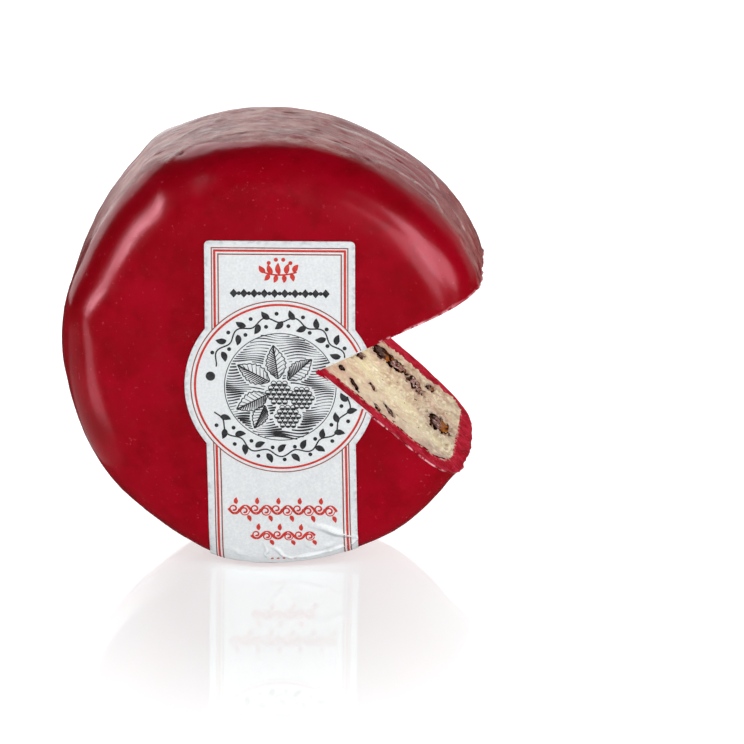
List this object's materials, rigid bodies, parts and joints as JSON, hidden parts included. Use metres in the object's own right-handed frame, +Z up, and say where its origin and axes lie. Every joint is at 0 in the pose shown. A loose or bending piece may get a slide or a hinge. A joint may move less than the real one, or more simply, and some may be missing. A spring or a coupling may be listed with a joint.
{
  "type": "wax-coated cheese truckle with a wedge cut out",
  "caption": "Short round drum of fruit cheese in thick red wax, standing on its rim with a wedge cut out to the middle and a plain paper label on its face.",
  "frame": {"origin": "on the floor under the middle of the box round the whole cheese", "axes": "+Y along the drum's axis from the labelled face to the back, +X towards the cut, +Z up"},
  "size_m": [0.0868, 0.045, 0.0913],
  "materials": {
    "red_wax": "glossy cheese wax",
    "label_paper": "satin printed paper",
    "cream_paste": "crumbly hard cheese",
    "dried_fruit": "wrinkled dried fruit"
  },
  "bodies": {
    "root": {"wax_coat": "red_wax", "label": "label_paper", "cheese_paste": "cream_paste", "berry_01": "dried_fruit", "berry_02": "dried_fruit", "berry_03": "dried_fruit", "berry_04": "dried_fruit", "berry_05": "dried_fruit", "berry_06": "dried_fruit", "berry_07": "dried_fruit", "berry_08": "dried_fruit", "berry_09": "dried_fruit", "berry_10": "dried_fruit", "berry_11": "dried_fruit", "berry_12": "dried_fruit", "berry_13": "dried_fruit", "berry_14": "dried_fruit", "berry_15": "dried_fruit", "berry_16": "dried_fruit", "berry_17": "dried_fruit"}
  },
  "joints": []
}
